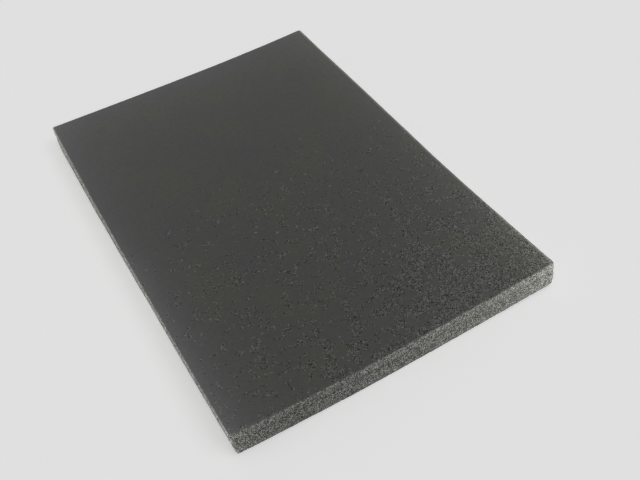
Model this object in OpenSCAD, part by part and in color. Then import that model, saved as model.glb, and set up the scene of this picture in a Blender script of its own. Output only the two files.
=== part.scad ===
// Acoustic foam panel: one flat sheet of open-cell polyurethane foam, split to thickness and
// knife-cut to size on four sides.
//
// Frame: the back face lies in the XY plane, centred on the origin. The length runs along Y,
// the width along X, and the sound face looks up, +Z. Units are millimetres.

/* [Sheet] */
// Length of the sheet, along Y
sheet_length = 297; // [150:1:600]
// Width of the sheet, along X
sheet_width = 210; // [100:1:400]
// Thickness of the foam, from the back face to the sound face
sheet_thickness = 20; // [12:0.5:50]

/* [Cut edge] */
// Radius of the upright corners, where two cuts meet
corner_radius = 1.5; // [1.3:0.1:30]
// Radius of the soft arris round the sound face
face_arris_radius = 0.8; // [0.2:0.1:1.2]
// Radius of the soft arris round the back face
back_arris_radius = 1; // [0.2:0.1:1.2]

/* [Knife line] */
// Drop of the line's middle below the sound face, where the blade's second pass met the first
line_drop = 7.4; // [4:0.1:9]
// Width of the line, measured up the cut side
line_width = 4.4; // [2:0.1:6]
// Depth of the line into the cut side
line_depth = 0.35; // [0.1:0.05:0.8]

/* [Finish] */
// Colour of the charcoal foam
foam_colour = "#454542"; // ["#454542", "#2B2B2C", "#6B6C6A"]

/* [Hidden] */
$fn = 64;

// The corners' centres, which are also the ends of the straight stretches of cut edge
inner_length = sheet_length - 2 * corner_radius;
inner_width = sheet_width - 2 * corner_radius;

// Radius of the arc that scoops the soft, shallow knife line to its width and depth
line_radius = (line_width * line_width / 4 + line_depth * line_depth) / (2 * line_depth);

// A quarter of a disc, in the quadrant of +X and +Y
module quarter_disc(radius) {
    intersection() {
        circle(r = radius);
        square([radius, radius]);
    }
}

// Section of the cut edge. X runs outwards from a corner's centre, Y runs up from the back face.
// Both arrises are soft quarter rounds, and the knife line is a shallow scoop between them.
module edge_section() {
    difference() {
        union() {
            // Back of the sheet, with its arris
            square([corner_radius - back_arris_radius, back_arris_radius]);
            translate([corner_radius - back_arris_radius, back_arris_radius])
                mirror([0, 1]) quarter_disc(back_arris_radius);
            // The cut itself
            translate([0, back_arris_radius])
                square([corner_radius, sheet_thickness - face_arris_radius - back_arris_radius]);
            // Front of the sheet, with its arris
            translate([0, sheet_thickness - face_arris_radius])
                square([corner_radius - face_arris_radius, face_arris_radius]);
            translate([corner_radius - face_arris_radius, sheet_thickness - face_arris_radius])
                quarter_disc(face_arris_radius);
        }
        translate([corner_radius + line_radius - line_depth, sheet_thickness - line_drop])
            circle(r = line_radius);
    }
}

// One straight stretch of cut edge, on the side that looks along +X
module straight_edge(run) {
    translate([0, run / 2, 0]) rotate([90, 0, 0])
        linear_extrude(height = run) edge_section();
}

// One corner of cut edge, turned from +X round to +Y
module corner_edge() {
    rotate_extrude(angle = 90) edge_section();
}

// The whole sheet: a plain core with the same section carried round its four sides and corners
module foam_panel() {
    color(foam_colour) union() {
        translate([-inner_width / 2, -inner_length / 2, 0])
            cube([inner_width, inner_length, sheet_thickness]);
        for (side = [0, 180]) {
            rotate(side) translate([inner_width / 2, 0, 0]) straight_edge(inner_length);
            rotate(side + 90) translate([inner_length / 2, 0, 0]) straight_edge(inner_width);
            rotate(side) translate([inner_width / 2, inner_length / 2, 0]) corner_edge();
            rotate(side + 90) translate([inner_length / 2, inner_width / 2, 0]) corner_edge();
        }
    }
}

foam_panel();
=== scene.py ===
"""Dresses the acoustic foam panel: one sheet of charcoal open-cell foam, lying on its back.

The sheet is one closed mesh. A fine band carries the cut side, its two soft arrises and the knife
line round the sheet, with every cut-open cell as a real pit. Two plain grids close it, over the
sound face and over the back, where the cells are too shallow to need more than a bump.
"""

import math
from functools import partial

import bpy
import numpy as np
from mathutils import Euler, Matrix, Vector


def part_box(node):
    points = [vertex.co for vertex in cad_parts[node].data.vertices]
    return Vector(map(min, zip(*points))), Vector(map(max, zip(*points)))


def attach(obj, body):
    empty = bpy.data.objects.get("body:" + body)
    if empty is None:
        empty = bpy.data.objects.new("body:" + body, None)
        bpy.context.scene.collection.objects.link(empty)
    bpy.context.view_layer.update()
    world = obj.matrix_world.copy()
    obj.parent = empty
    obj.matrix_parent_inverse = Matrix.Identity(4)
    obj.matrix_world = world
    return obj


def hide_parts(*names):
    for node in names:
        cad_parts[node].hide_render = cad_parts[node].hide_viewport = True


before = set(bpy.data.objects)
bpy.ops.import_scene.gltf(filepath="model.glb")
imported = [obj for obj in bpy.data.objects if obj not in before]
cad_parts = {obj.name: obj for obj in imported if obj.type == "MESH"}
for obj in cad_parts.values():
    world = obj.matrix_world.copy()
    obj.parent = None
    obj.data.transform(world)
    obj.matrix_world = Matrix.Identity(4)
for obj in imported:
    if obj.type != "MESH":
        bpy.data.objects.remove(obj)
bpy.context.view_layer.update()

MM = 0.001

# The cut edge, in millimetres, as the solid has it
FACE_ARRIS = 0.8
BACK_ARRIS = 1.0
LINE_DROP = 7.4
LINE_WIDTH = 4.4
LINE_DEPTH = 0.35

# The four corners, counter-clockwise from the near right one. Each has the side of X and of Y that
# it is on, its radius at the sound face and at the back, and how the knife and handling moved it:
# how far its cut slants out along +X towards the back, how far it is drawn along +X and over what
# stretch of its long side, how far it is out of square along +Y, and how far it curls up.
CORNERS = (
    dict(x=1, y=-1, radii=(2.0, 4.2), slant=3.1, drift=1.45, reach=105.0, skew=-0.8, lift=1.5),
    dict(x=1, y=1, radii=(2.6, 2.0), slant=0.7, drift=0.0, reach=60.0, skew=0.0, lift=2.6),
    dict(x=-1, y=1, radii=(1.5, 1.5), slant=0.3, drift=1.7, reach=160.0, skew=-0.8, lift=0.9),
    dict(x=-1, y=-1, radii=(1.9, 1.3), slant=2.0, drift=-0.5, reach=300.0, skew=-0.2, lift=4.7),
)

# How far the right cut bows out, past the middle of its length and over this reach either way,
# in millimetres
RIGHT_BOW = 0.7
BOW_MIDDLE = 50.0
BOW_REACH = 85.0

# How far the cut side leans in from the knife line up to the sound face, and how the knife
# wavered: in long waves, and in short ones half as deep, all in millimetres
SHOULDER_LEAN = 0.2
WAVE_DEPTH = 0.16
LONG_WAVE = 34.0
SHORT_WAVE = 9.0

# Pits of the cut-open cells, in millimetres. The foam's cells are 0.6 to 1 mm wide, and its pits
# are as close as the mesh can hold them. A pit's radius, and the distance over which it rises to
# the strut beside it, are shares of the spacing.
PIT_SPACING = 0.95
PIT_DEPTH = 0.36
PIT_RADIUS = 0.65
PIT_RISE = 0.3

# Painted light and shade along the knife line of a cut side: the strip above it is that much
# paler than the strip below, as if lit more by the lamps, and turns so over this height, and the
# line itself is that much darker as painted shade in its valley, over this reach either way, both
# in millimetres
UPPER_STRIP_LIGHT = 0.12
UPPER_TURN = 2.0
LINE_SHADE = 0.2
LINE_REACH = 1.5

# Painted highlight on the frayed arrises, where they catch the lamps: how strong it is on the
# right, far, left and near side, and how far it reaches onto a face there and fades, in millimetres
FRAYED_ARRIS_LIGHT = (0.38, 0.0, 0.31, 0.12)
FRAYED_LIGHT_REACH = (1.65, 1.15, 1.15, 1.15)
FRAYED_LIGHT_FADE = 0.5

# How much paler painted light makes the foam where the low lamps brighten it: along each edge of a
# face, at the near left corner, along the two long margins towards the near end, and on the four
# upright corners
LONG_EDGE_LIGHT = 0.3
FAR_EDGE_LIGHT = 0.25
NEAR_EDGE_LIGHT = 0.08
NEAR_LEFT_CORNER_LIGHT = 0.3
MARGIN_LIGHT = 0.45
UPRIGHT_CORNER_LIGHT = 0.6

# What the mesh carries for finish and painted light and shade, as one value of each at every point
PAINTED = ("cut_side", "cell_depth", "knife_line_light", "rim", "edge_light")

# Mesh pitch, in millimetres. The band is fine enough to hold a cell, and the faces are plain, with
# one cell of their grid beside so many columns. The band reaches its margin onto each face, and
# the grid begins its own margin in.
COLUMN_PITCH = 0.55
STATION_PITCH = 0.5
COLUMNS_PER_FACE_CELL = 6
BAND_MARGIN = 1.15
FACE_MARGIN = 2.35

# Sizes in the foam's finish, in millimetres: a whole cell, the space between two knots of its
# struts, a cell drawn open on a face, one drawn torn wide where few are open, a loose lump of
# such cells, the mottle of the skin and a patch of hue. A real knot is about 0.2 mm, too fine
# to show, so knots are drawn as coarse as the cells between them allow.
WHOLE_CELL = 0.68
KNOT_SPACING = 0.52
FACE_PIT_CELL = 0.5
TORN_CELL = 1.5
LUMP = 6.0
MOTTLE = 2.4
HUE_PATCH = 28.0

# Strength of the pale room and of the high sun, the sun's azimuth, elevation and width in degrees,
# and what both give a level surface, where 1 renders a colour as written
AMBIENT = 0.22
SUN_STRENGTH = 0.15
SUN_AZIMUTH = -60.0
SUN_ELEVATION = 55.0
SUN_WIDTH = 30.0
FLOOR_LEVEL = AMBIENT + SUN_STRENGTH * math.sin(math.radians(SUN_ELEVATION))

# The low softboxes: name, azimuth from +X towards +Y in degrees, how far from the sheet's middle
# and how high it stands in millimetres, and power in watts
SOFTBOXES = (
    ("low_left_softbox", 201, 420, 60, 0.90),
    ("left_softbox", 158, 420, 120, 1.02),
    ("far_softbox", 90, 330, 90, 0.40),
    ("right_softbox", 20, 330, 90, 0.49),
    ("near_right_softbox", 325, 330, 60, 0.55),
    ("near_softbox", 300, 330, 60, 0.33),
)
SOFTBOX_WIDTH = 300.0
SOFTBOX_HEIGHT = 110.0

# The table and what lies behind it, and how far the table reaches from its middle, in metres
PALE = "#E0E0E0"
TABLE_REACH = 6.0

# The camera stands off the near left corner and looks down along the sheet. Its place, focal length
# and sensor width are in millimetres, and its roll is in degrees.
CAMERA_AT = (-147.21, -351.94, 380.95)
LOOK_ALONG = (0.305, 0.60395, -0.73635)
ROLL = -5.309
FOCAL_LENGTH = 45.04
SENSOR_WIDTH = 36.0


# ---------------------------------------------------------------- numbers that vary over space


def lattice_random(cell, seed):
    """Three even random numbers from 0 to 1 for each whole-number lattice cell. Its three indices
    are mixed with primes and folded by xor and shifts, so a cell always gets the same numbers."""
    mixed = (cell[..., 0] * 73856093) ^ (cell[..., 1] * 19349663) ^ (cell[..., 2] * 83492791)
    mixed = (mixed + seed * 2654435761) & 0xFFFFFFFF
    out = []
    for _ in range(3):
        mixed = ((mixed ^ (mixed >> 15)) * 2246822519) & 0xFFFFFFFF
        mixed = ((mixed ^ (mixed >> 13)) * 3266489917) & 0xFFFFFFFF
        mixed = mixed ^ (mixed >> 16)
        out.append(mixed / 0xFFFFFFFF)
    return np.stack(out, -1)


def neighbours(*steps):
    """Every step in three directions that takes one of these steps along each."""
    return np.array(np.meshgrid(steps, steps, steps)).reshape(3, -1).T


def nearest_cells(points, spacing, seed):
    """Distances from each point to the two nearest cell centres, as shares of the spacing. The
    centres are a cubic lattice's, each moved by chance inside its own cube."""
    place = points / spacing
    home = np.floor(place).astype(np.int64)
    first = np.full(len(points), 9.0)
    second = first.copy()
    for step in neighbours(-1, 0, 1):
        cube = home + step
        centre = cube + lattice_random(cube, seed)
        away = np.linalg.norm(place - centre, axis=1)
        second = np.minimum(second, np.maximum(first, away))
        first = np.minimum(first, away)
    return first, second


def smooth(t):
    """The smooth step 3t^2 - 2t^3, held at 0 and 1 outside that range."""
    t = np.clip(t, 0, 1)
    return t * t * (3 - 2 * t)


def soft_noise(points, wavelength, seed):
    """Smooth noise from -1 to 1: random values at a cubic lattice's corners, blended along each
    axis by the smooth step 3t^2 - 2t^3."""
    place = points / wavelength
    home = np.floor(place).astype(np.int64)
    t = smooth(place - home)
    total = np.zeros(len(points))
    for corner in neighbours(0, 1):
        weight = np.prod(np.where(corner == 1, t, 1 - t), axis=1)
        total += weight * lattice_random(home + corner, seed)[:, 0]
    return 2 * total - 1


# ---------------------------------------------------------------- the sheet's surface


def cut_section(thickness):
    """Section of the cut edge, from the sound face over the side to the back, at even steps. It is
    a flat margin, a quarter circle, the cut side, a second quarter circle and a flat margin.
    Returns how far each station lies outside the outline, its height, and its outward normal's
    share along the way out and along +Z."""
    side_top, side_low = thickness - FACE_ARRIS, BACK_ARRIS
    out, high, angle = [], [], []

    def stretch(length, last=False):
        """Even shares from 0 up to 1 along a stretch of that length, with the 1 only at last."""
        steps = max(1, round(length / STATION_PITCH))
        return np.arange(steps + last) / steps

    t = stretch(BAND_MARGIN - FACE_ARRIS)
    out.append(-BAND_MARGIN + (BAND_MARGIN - FACE_ARRIS) * t)
    high.append(thickness + 0 * t)
    angle.append(math.pi / 2 + 0 * t)

    turn = (1 - stretch(FACE_ARRIS * math.pi / 2)) * math.pi / 2
    out.append(FACE_ARRIS * (np.cos(turn) - 1))
    high.append(side_top + FACE_ARRIS * np.sin(turn))
    angle.append(turn)

    t = stretch(side_top - side_low)
    out.append(0 * t)
    high.append(side_top - (side_top - side_low) * t)
    angle.append(0 * t)

    turn = -stretch(BACK_ARRIS * math.pi / 2) * math.pi / 2
    out.append(BACK_ARRIS * (np.cos(turn) - 1))
    high.append(side_low + BACK_ARRIS * np.sin(turn))
    angle.append(turn)

    t = stretch(BAND_MARGIN - BACK_ARRIS, last=True)
    out.append(-BACK_ARRIS - (BAND_MARGIN - BACK_ARRIS) * t)
    high.append(0 * t)
    angle.append(-math.pi / 2 + 0 * t)

    out, high, angle = map(np.concatenate, (out, high, angle))
    normal_out, normal_up = np.cos(angle), np.sin(angle)
    # The knife line is a soft valley, and above it the side leans in towards the sound face.
    line = thickness - LINE_DROP
    valley = LINE_DEPTH * np.exp(-(((high - line) / (LINE_WIDTH / 3)) ** 2))
    lean = SHOULDER_LEAN * smooth((high - line) / LINE_DROP)
    out = out - (valley + lean) * normal_out.clip(0, 1)
    return out, high, normal_out, normal_up


def outline(width, length, thickness, high):
    """Columns round the sheet, each with its point on the outline at every height and its one way
    out. A side runs from corner to corner and keeps its way out. A corner is a quarter circle
    about its own centre, and its radius grows from the sound face to the back, by the cube of the
    depth. Also returns each stretch's number of columns, a side and then a corner, four times."""
    share = (1 - high[:, None] / thickness) ** 3
    radius = [c["radii"][0] + (c["radii"][1] - c["radii"][0]) * share for c in CORNERS]
    points = [np.array([c["x"] * width / 2, c["y"] * length / 2]) for c in CORNERS]
    base, ways, counts = [], [], []
    for side in range(4):
        near, far = side, (side + 1) % 4
        way = np.array([math.cos(side * math.pi / 2), math.sin(side * math.pi / 2)]).round()
        along = np.array([-way[1], way[0]])
        run = length if side % 2 == 0 else width
        cells = round((run - 2 * FACE_MARGIN) / (COLUMN_PITCH * COLUMNS_PER_FACE_CELL))
        count = cells * COLUMNS_PER_FACE_CELL
        start = points[near] + along * radius[near]
        end = points[far] - along * radius[far]
        t = (np.arange(count) / count)[:, None, None]
        base.append(start + (end - start) * t)
        ways.append(np.broadcast_to(way, (count, 2)))

        mean_radius = float(radius[far].mean())
        steps = max(4, round(mean_radius * math.pi / 2 / COLUMN_PITCH))
        turn = (np.arange(steps) / steps * math.pi / 2)[:, None]
        turned = np.cos(turn) * way + np.sin(turn) * along
        centre = points[far] - (along + way) * radius[far]
        base.append(centre + turned[:, None, :] * radius[far])
        ways.append(turned)
        counts += [count, steps]
    return np.concatenate(base), np.concatenate(ways), counts


def bent(points, width, length, thickness):
    """Bends the flat sheet as the knife and handling left it. Each corner's slant, skew and lift
    are blended between the four by the shares of width and length, and the lift also by the square
    of both, so the middle stays flat. A corner's drift fades along its long side by the square of
    what is left of its reach. The bow on the right is the square of one minus a square."""
    u, v = points[:, 0] / (width / 2), points[:, 1] / (length / 2)
    depth = 1 - points[:, 2] / thickness
    for c in CORNERS:
        in_x, in_y = (1 + c["x"] * u) / 2, (1 + c["y"] * v) / 2
        near = (1 - (1 - in_y) * length / c["reach"]).clip(0, 1) ** 2
        points[:, 0] += (c["slant"] * in_y * depth + c["drift"] * near) * in_x
        points[:, 1] += c["skew"] * in_x * in_y
        points[:, 2] += c["lift"] * in_x * in_y * (u * v) ** 2
    bow = (1 - ((v * length / 2 - BOW_MIDDLE) / BOW_REACH) ** 2).clip(0, 1) ** 2
    points[:, 0] += RIGHT_BOW * bow * (1 + u) / 2
    return points


def margin_light(u, v):
    """How much painted light a margin carries at these shares of half the width and length: the
    sixteenth power across, and a smooth step along, which starts further from the near end on
    the left."""
    return u**16 * smooth((-0.05 - 0.35 * u - v) / 0.5)


def face_edge_light(u, v):
    """How much paler painted light makes a face at these shares of half the width and length: by
    the eighth power towards an edge, least at the near one, and by the fourth towards the near
    left corner. The lit margins come on top."""
    edges = LONG_EDGE_LIGHT * u**8 + np.where(v > 0, FAR_EDGE_LIGHT, NEAR_EDGE_LIGHT) * v**8
    near_left_light = NEAR_LEFT_CORNER_LIGHT * (-u).clip(0, 1) ** 4 * (-v).clip(0, 1)
    return edges + near_left_light + MARGIN_LIGHT * margin_light(u, v)


def open_cells(points, normal, side, fade):
    """Cuts the cells open and lets the cut side wander a little. A cell's pit is deepest at its
    centre, by one minus the square of the distance, and ends at the strut between two cells. The
    pits are a fifth as deep on the level margins as on the side."""
    near, second = nearest_cells(points, PIT_SPACING, seed=11)
    walls = np.clip((second - near) / PIT_RISE, 0, 1)
    pit = np.clip(1 - (near / PIT_RADIUS) ** 2, 0, 1) * walls * fade
    long_wave, short_wave = soft_noise(points, LONG_WAVE, 3), soft_noise(points, SHORT_WAVE, 4)
    wave = WAVE_DEPTH * (long_wave + 0.5 * short_wave)
    push = wave * side - PIT_DEPTH * pit * (0.2 + 0.8 * side)
    return points + normal * push[:, None], pit


def edge_band(width, length, thickness):
    """The band that carries the cut edge, as columns round the sheet by stations down the section,
    with its cells cut open. Returns its points in millimetres, the five painted values at each,
    the points' numbers as columns by stations, and each stretch's number of columns."""
    out, high, normal_out, normal_up = cut_section(thickness)
    base, ways, counts = outline(width, length, thickness, high)
    spread = base.shape[:2]

    def everywhere(stations):
        """One value a station, the same in every column."""
        return np.broadcast_to(stations, spread).ravel()

    flat = (base + ways[:, None, :] * out[None, :, None]).reshape(-1, 2)
    level = (ways[:, None, :] * normal_out[None, :, None]).reshape(-1, 2)
    points = np.column_stack([flat, everywhere(high)])
    normal = np.column_stack([level, everywhere(normal_up)])
    side = everywhere(normal_out.clip(0, 1))
    # The pits fade out towards both rims of the band, where the plain faces begin.
    fade = everywhere(np.sin(np.pi * np.arange(len(high)) / (len(high) - 1)) ** 0.25)
    points, depth = open_cells(points, normal, side, fade)

    # The colour of a cut side begins halfway round the arris.
    cut = smooth((side - 0.55) / 0.4)
    # Painted shade along the knife line, and painted light on the strip above it
    above = high - (thickness - LINE_DROP)
    knife_line_light = UPPER_STRIP_LIGHT * smooth(above / UPPER_TURN)
    knife_line_light = knife_line_light - LINE_SHADE * np.exp(-((above / LINE_REACH) ** 2))
    # Painted highlight along the frayed arrises, strongest on the sides that face the lamps
    facing = np.concatenate([ways, -ways], 1).clip(0, 1)[:, None]
    rim = (facing @ np.array(FRAYED_ARRIS_LIGHT)) * smooth((out + facing @ np.array(FRAYED_LIGHT_REACH)) / FRAYED_LIGHT_FADE)
    rim = rim.ravel()
    u, v = points[:, 0] / (width / 2), points[:, 1] / (length / 2)
    # Painted light on the four upright corners, and towards the edges of the faces
    edge_light = UPRIGHT_CORNER_LIGHT * u**8 * v**16 + face_edge_light(u, v) * (1 - cut) * (1 - rim)
    values = np.stack([cut, depth, everywhere(knife_line_light), rim, edge_light], 1)
    return points, values, np.arange(len(points)).reshape(spread), counts


def quads_between(numbers):
    """The quads of a grid of points' numbers, turning from its first axis to its second."""
    corners = [numbers[:-1, :-1], numbers[1:, :-1], numbers[1:, 1:], numbers[:-1, 1:]]
    return np.stack(corners, -1).reshape(-1, 4)


def zip_rings(fine, coarse, ratio):
    """Triangles between a fine line of points and a coarse one beside it, with ratio fine steps
    to each coarse step: a fan on the first coarse point, and one on the second at the end."""
    a, b = coarse[:-1], coarse[1:]
    middle = (ratio + 1) // 2
    turns = [np.stack([a, fine[middle:-1:ratio], b], 1)]
    for k in range(ratio):
        own = a if k < middle else b
        turns.append(np.stack([own, fine[k:-1:ratio], fine[k + 1 :: ratio]], 1))
    return np.concatenate(turns)


def face_joint(ring, numbers, counts):
    """Triangles that join a face's grid to the band's rim round it: zipped along each side, and
    a fan on the grid's corner round each corner of the sheet."""
    borders = [numbers[-1, :], numbers[::-1, -1], numbers[0, ::-1], numbers[:, 0]]
    triangles = []
    at = 0
    for border, count, steps in zip(borders, counts[::2], counts[1::2]):
        fine = ring[np.arange(at, at + count + 1) % len(ring)]
        arc = ring[np.arange(at + count, at + count + steps + 1) % len(ring)]
        triangles.append(zip_rings(fine, border, COLUMNS_PER_FACE_CELL))
        triangles.append(np.stack([np.full(steps, border[-1]), arc[:-1], arc[1:]], 1))
        at += count + steps
    return np.concatenate(triangles)


def sheet_mesh(width, length, thickness):
    """The whole closed sheet: the band, and two face grids joined to it by fans. Returns points in
    millimetres, quads, triangles, and the five painted values at each point: how far it is on a
    cut side, how deep it lies in a cell, how much painted light or shade it gets along the knife
    line, how strong the painted highlight on the frayed arris is, and how much paler painted
    light makes it."""
    band, painted, index, counts = edge_band(width, length, thickness)
    points, values = [band], [painted]
    around = np.concatenate([index, index[:1]])
    quads, triangles = [quads_between(around.T)], []

    cells_y, cells_x = (count // COLUMNS_PER_FACE_CELL for count in (counts[0], counts[2]))
    x = np.linspace(-width / 2 + FACE_MARGIN, width / 2 - FACE_MARGIN, cells_x + 1)
    y = np.linspace(-length / 2 + FACE_MARGIN, length / 2 - FACE_MARGIN, cells_y + 1)
    grid = np.stack(np.meshgrid(x, y, indexing="ij"), -1).reshape(-1, 2)
    # Painted light towards the faces' edges
    edge_light = face_edge_light(grid[:, 0] / (width / 2), grid[:, 1] / (length / 2))
    numbers = len(band) + np.arange(len(grid)).reshape(cells_x + 1, cells_y + 1)
    # The back's faces turn the other way, so that they look outwards too.
    for height, ring, order in ((thickness, index[:, 0], 1), (0.0, index[:, -1], -1)):
        points.append(np.column_stack([grid, np.full(len(grid), height)]))
        values.append(np.column_stack([np.zeros((len(grid), len(PAINTED) - 1)), edge_light]))
        quads.append(quads_between(numbers)[:, ::order])
        triangles.append(face_joint(ring, numbers, counts)[:, ::order])
        numbers = numbers + len(grid)
    points = bent(np.concatenate(points), width, length, thickness)
    return points, np.concatenate(quads), np.concatenate(triangles), np.concatenate(values)


def put(name, data):
    """Puts a mesh, a camera or a lamp into the scene as an object of that name."""
    made = bpy.data.objects.new(name, data)
    bpy.context.scene.collection.objects.link(made)
    return made


def mesh_object(name, points, quads, triangles, attributes):
    """Puts arrays of points, quads and triangles into a new smooth-shaded mesh, with one float a
    point for each named attribute."""
    mesh = bpy.data.meshes.new(name)
    mesh.vertices.add(len(points))
    mesh.vertices.foreach_set("co", (points * MM).astype(np.float32).ravel())
    corners = np.concatenate([quads.ravel(), triangles.ravel()]).astype(np.int32)
    sizes = np.concatenate([np.full(len(quads), 4), np.full(len(triangles), 3)])
    starts = np.concatenate([[0], np.cumsum(sizes)[:-1]]).astype(np.int32)
    mesh.loops.add(len(corners))
    mesh.loops.foreach_set("vertex_index", corners)
    mesh.polygons.add(len(sizes))
    mesh.polygons.foreach_set("loop_start", starts)
    mesh.polygons.foreach_set("use_smooth", np.ones(len(sizes), bool))
    mesh.update(calc_edges=True)
    for key, value in attributes.items():
        attribute = mesh.attributes.new(key, "FLOAT", "POINT")
        attribute.data.foreach_set("value", value.astype(np.float32))
    mesh.validate()
    return put(name, mesh)


# ---------------------------------------------------------------- finishes


def linear(hex_colour):
    """The linear colour of an sRGB hex value."""
    parts = [int(hex_colour[k : k + 2], 16) / 255 for k in (1, 3, 5)]
    parts = [c / 12.92 if c <= 0.04045 else ((c + 0.055) / 1.055) ** 2.4 for c in parts]
    return (*parts, 1.0)


def add(tree, kind, *values, **named):
    """Adds one node to a tree. A name in small letters is one of its settings, and any other is an
    input. The values without a name go into the inputs that its settings leave open, in order. A
    socket is linked, a node is linked by its first open output, and anything else is set."""
    node = tree.nodes.new("ShaderNode" + kind)
    for key in [key for key in named if key.islower()]:
        setattr(node, key, named.pop(key))
    pairs = list(zip([socket for socket in node.inputs if socket.enabled], values))
    pairs += [(node.inputs[key.replace("_", " ")], value) for key, value in named.items()]
    for socket, value in pairs:
        if isinstance(value, bpy.types.Node):
            value = next(output for output in value.outputs if output.enabled)
        if isinstance(value, bpy.types.NodeSocket):
            tree.links.new(value, socket)
        else:
            socket.default_value = value
    return node


def emptied(owner):
    """Clears the node tree of a material or a world, and returns what adds a node to it."""
    owner.use_nodes = True
    owner.node_tree.nodes.clear()
    return partial(add, owner.node_tree)


def open_cell_foam(half_length):
    """Charcoal open-cell polyurethane foam, split on its faces and knife-cut on its sides. On a
    cut side the struts catch light as fine grey flecks, and the opened cells between them stay
    dark. The faces are closer and darker. Towards the near edge they show more and more open
    cells, as painted shade in pits and painted glints on struts where the low lamps rake the
    grain. Edges and corners are painted paler with light."""
    material = bpy.data.materials.new("open_cell_polyurethane_foam")
    node = emptied(material)
    smoothly = dict(interpolation_type="SMOOTHSTEP")
    place = node("TexCoord").outputs["Object"]
    along = node("SeparateXYZ", place).outputs
    painted = {name: node("Attribute", attribute_name=name).outputs["Fac"] for name in PAINTED}

    # Cut side: dark cells in a net of struts, each knot of the net lit by its own chance, with
    # painted shade down in a pit and along the knife line, and painted light a little paler above
    # that line
    cells = node("TexVoronoi", Vector=place, Scale=1 / (WHOLE_CELL * MM))
    net = node("MapRange", cells, 0.25, 0.55, **smoothly)
    knots = node("TexVoronoi", Vector=place, Scale=1 / (KNOT_SPACING * MM))
    chance = node("SeparateColor", knots.outputs["Color"])
    lit = node("MapRange", chance, 0.2, 0.9, 0.18, 1.0, **smoothly)
    side_grain = node("Math", net, lit, operation="MULTIPLY")
    side_colour = node("Mix", side_grain, linear("#0A0A0A"), linear("#9D9E97"), data_type="RGBA")
    # Painted shade: the cut side is darker the deeper a point lies in a cell's pit
    pit_shade = node("MapRange", painted["cell_depth"], 0.0, 1.0, 1.0, 0.7, **smoothly)
    side_colour = node("VectorMath", side_colour, Scale=pit_shade, operation="SCALE")
    # Painted light above the knife line and painted shade along it
    knife_line_lit = node("Math", painted["knife_line_light"], 1.0, operation="ADD")
    side_colour = node("VectorMath", side_colour, Scale=knife_line_lit, operation="SCALE")

    # Faces: a close, faintly mottled skin. It is a touch olive in soft patches, and neutral
    # between them and along the left and far margins.
    left = node("MapRange", along["X"], -70 * MM, -95 * MM, **smoothly)
    far = node("MapRange", along["Y"], 0.75 * half_length, 0.95 * half_length, **smoothly)
    margin = node("Math", left, far, operation="MAXIMUM")
    patches = node("TexNoise", Vector=place, Scale=1 / (HUE_PATCH * MM), Detail=1.0)
    patches = node("MapRange", patches, 0.15, 0.8, **smoothly)
    neutral = node("Math", margin, patches, operation="MAXIMUM")
    face_colour = node("Mix", neutral, linear("#484942"), linear("#464646"), data_type="RGBA")
    mottle = node("TexNoise", Vector=place, Scale=1 / (MOTTLE * MM), Detail=1.0)
    mottle = node("Math", mottle, 0.26, 0.87, operation="MULTIPLY_ADD")
    face_colour = node("VectorMath", face_colour, Scale=mottle, operation="SCALE")

    # Open cells on the faces, partly real grain and partly painted light: none on the far half, and
    # more towards the near edge and the right, where the low lamps rake the grain. They lie in
    # loose lumps that close up there, some as painted shade in pits and as many as lit struts.
    near = node("MapRange", along["Y"], 0.75 * half_length, -1.3 * half_length, **smoothly)
    right = node("MapRange", along["X"], -120 * MM, 80 * MM, 0.01, 0.25, **smoothly)
    lumps = node("TexNoise", Vector=place, Scale=1 / (LUMP * MM), Detail=1.0)
    uneven = node("Math", lumps, 0.6, -0.285, operation="MULTIPLY_ADD")
    open_in_raking_light = node("Math", near, right, uneven, operation="MULTIPLY_ADD")
    open_in_raking_light = node("Math", open_in_raking_light, near, operation="MULTIPLY")
    face_pit_cells = node("TexVoronoi", Vector=place, Scale=1 / (FACE_PIT_CELL * MM))
    luck = node("SeparateColor", face_pit_cells.outputs["Color"])
    unlucky = node("Math", open_in_raking_light, luck, operation="SUBTRACT")
    lucky = node("Math", open_in_raking_light, luck, operation="ADD")
    pit = node("MapRange", unlucky, -0.02, 0.02, **smoothly)
    strut = node("MapRange", lucky, 0.98, 1.02, **smoothly)

    # Where they are few, each one is torn wider, as painted shade in a hollow within a curl of lit
    # strut. There are none on the far third, and fewer along the left margin.
    dense = node("MapRange", open_in_raking_light, 0.09, 0.13, **smoothly)
    few = node("MapRange", along["Y"], 0.4 * half_length, -0.5 * half_length, 0.0, 0.32, **smoothly)
    in_lumps = node("MapRange", lumps, 0.35, 0.62, **smoothly)
    few = node("Math", few, in_lumps, operation="MULTIPLY")
    off_margin = node("Math", margin, -0.7, 1.0, operation="MULTIPLY_ADD")
    few = node("Math", few, off_margin, operation="MULTIPLY")
    sparse = node("Math", 1.0, dense, operation="SUBTRACT")
    few = node("Math", few, sparse, operation="MULTIPLY")
    torn_cells = node("TexVoronoi", Vector=place, Scale=1 / (TORN_CELL * MM))
    luck = node("SeparateColor", torn_cells.outputs["Color"])
    unlucky = node("Math", few, luck, operation="SUBTRACT")
    torn = node("MapRange", unlucky, 0.0, 0.02, **smoothly)
    hollow = node("MapRange", torn_cells, 0.65, 0.4, 0.0, 0.5, **smoothly)
    hollow = node("Math", torn, hollow, operation="MULTIPLY")
    curl = node("MapRange", torn_cells, 0.5, 0.7, 0.0, 0.85, **smoothly)
    curl = node("Math", torn, curl, operation="MULTIPLY")
    pit = node("Math", pit, dense, hollow, operation="MULTIPLY_ADD")
    strut = node("Math", strut, dense, curl, operation="MULTIPLY_ADD")
    # Painted shade in the pits and hollows, and painted glints on the struts and curls
    face_colour = node("Mix", pit, face_colour, linear("#1E1E1C"), data_type="RGBA")
    face_colour = node("Mix", strut, face_colour, linear("#666662"), data_type="RGBA")

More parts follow.
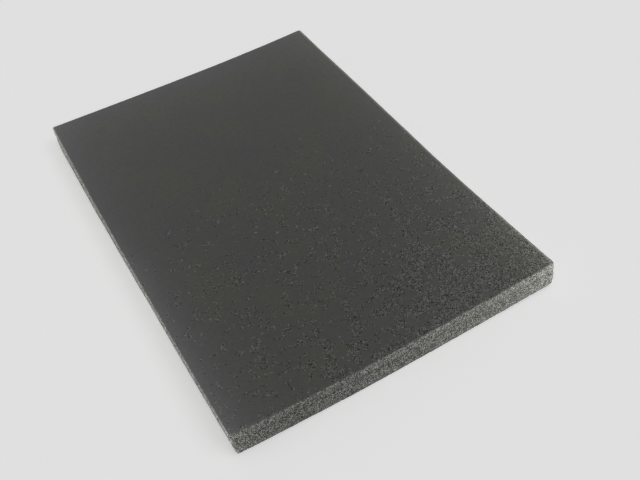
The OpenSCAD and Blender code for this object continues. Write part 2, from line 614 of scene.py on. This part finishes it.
    # Painted highlight on the frayed arris: a rim of pale flecks, each lit by its own chance
    highlight_flecks = node("MapRange", chance, 0.2, 0.5, **smoothly)
    rim = node("Math", painted["rim"], highlight_flecks, operation="MULTIPLY")
    face_colour = node("Mix", rim, face_colour, linear("#A0A09A"), data_type="RGBA")

    colour = node("Mix", painted["cut_side"], face_colour, side_colour, data_type="RGBA")
    # Painted light makes the edges and upright corners paler
    paler = node("Math", painted["edge_light"], 1.0, operation="ADD")
    colour = node("VectorMath", colour, Scale=paler, operation="SCALE")
    face_grain = node("Math", strut, pit, operation="SUBTRACT")
    height = node("Mix", painted["cut_side"], face_grain, side_grain)
    bump = node("Bump", Strength=0.6, Distance=0.2 * MM, Height=height)
    shader = node(
        "BsdfPrincipled",
        Base_Color=colour,
        Roughness=0.95,
        IOR=1.45,
        Specular_IOR_Level=0.25,
        Normal=bump,
    )
    node("OutputMaterial", Surface=shader)
    return material


def seen_straight(node):
    """1 for a ray from the camera, or one that a gloss or a clear piece sends on, and else 0."""
    rays = node("LightPath").outputs
    some = node("Math", rays["Is Camera Ray"], rays["Is Glossy Ray"], operation="MAXIMUM")
    return node("Math", some, rays["Is Transmission Ray"], operation="MAXIMUM")


def pale_table():
    """A plain pale table, matt, which takes the sheet's soft shadow. Where it is seen straight, it
    glows by what the gentle light leaves short of its written colour."""
    material = bpy.data.materials.new("pale_table")
    node = emptied(material)
    matt = node("BsdfDiffuse", Color=linear(PALE))
    short = node("Math", seen_straight(node), 1 - FLOOR_LEVEL, operation="MULTIPLY")
    glow = node("Emission", Color=linear(PALE), Strength=short)
    node("OutputMaterial", Surface=node("AddShader", matt, glow))
    return material


# ---------------------------------------------------------------- the scene


low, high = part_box("foam_panel")
width, length, thickness = ((b - a) / MM for a, b in zip(low, high))
points, quads, triangles, values = sheet_mesh(width, length, thickness)
sheet = mesh_object("foam_sheet", points, quads, triangles, dict(zip(PAINTED, values.T)))
sheet.data.materials.append(open_cell_foam(length / 2 * MM))
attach(sheet, "root")
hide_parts("foam_panel")

# Table
table_mesh = bpy.data.meshes.new("table_top")
table_corners = [
    (x * TABLE_REACH, y * TABLE_REACH, 0) for x, y in ((-1, -1), (1, -1), (1, 1), (-1, 1))
]
table_mesh.from_pydata(table_corners, [], [(0, 1, 2, 3)])
table = put("table_top", table_mesh)
table.data.materials.append(pale_table())

# Camera
camera_data = bpy.data.cameras.new("camera")
camera_data.lens = FOCAL_LENGTH
camera_data.sensor_width = SENSOR_WIDTH
camera = put("camera", camera_data)
camera.location = Vector(CAMERA_AT) * MM
camera.rotation_mode = "QUATERNION"
level_turn = Vector(LOOK_ALONG).to_track_quat("-Z", "Y")
camera.rotation_quaternion = level_turn @ Euler((0, 0, math.radians(ROLL))).to_quaternion()
bpy.context.scene.camera = camera

# Light: a pale room, a weak high sun, and low softboxes that rake the sheet alone
world = bpy.data.worlds.new("studio")
bpy.context.scene.world = world
node = emptied(world)
room = node("Background", Color=(1, 1, 1, 1), Strength=AMBIENT)
backdrop = node("Background", Color=linear(PALE), Strength=1.0)
node("OutputWorld", Surface=node("MixShader", seen_straight(node), room, backdrop))


def lamp(name, kind, at, aim, **settings):
    """A lamp of that kind at one point in millimetres, shining towards another."""
    data = bpy.data.lights.new(name, kind)
    for key, value in settings.items():
        setattr(data, key, value)
    made = put(name, data)
    made.location = Vector(at) * MM
    made.rotation_mode = "QUATERNION"
    made.rotation_quaternion = (Vector(aim) - Vector(at)).to_track_quat("-Z", "Y")
    return made


def point_at(azimuth, away, height):
    """The point at that azimuth, that far out from the upright axis and that high, in degrees and
    millimetres."""
    turn = math.radians(azimuth)
    return (away * math.cos(turn), away * math.sin(turn), height)


elevation = math.radians(SUN_ELEVATION)
sun_at = point_at(SUN_AZIMUTH, 1000 * math.cos(elevation), 1000 * math.sin(elevation))
sun_power, sun_spread = SUN_STRENGTH * math.pi, math.radians(SUN_WIDTH)
lamp("high_sun", "SUN", sun_at, (0, 0, 0), energy=sun_power, angle=sun_spread)

# The camera doesn't see the softboxes, and they leave the table even.
only_sheet = bpy.data.collections.new("lit_by_softboxes")
only_sheet.objects.link(sheet)
box_size = dict(shape="RECTANGLE", size=SOFTBOX_WIDTH * MM, size_y=SOFTBOX_HEIGHT * MM)
for name, azimuth, away, height, power in SOFTBOXES:
    at = point_at(azimuth, away, height)
    softbox = lamp(name, "AREA", at, (0, 0, thickness), energy=power, **box_size)
    softbox.visible_camera = False
    softbox.light_linking.receiver_collection = only_sheet

bpy.context.scene.view_settings.view_transform = "Standard"
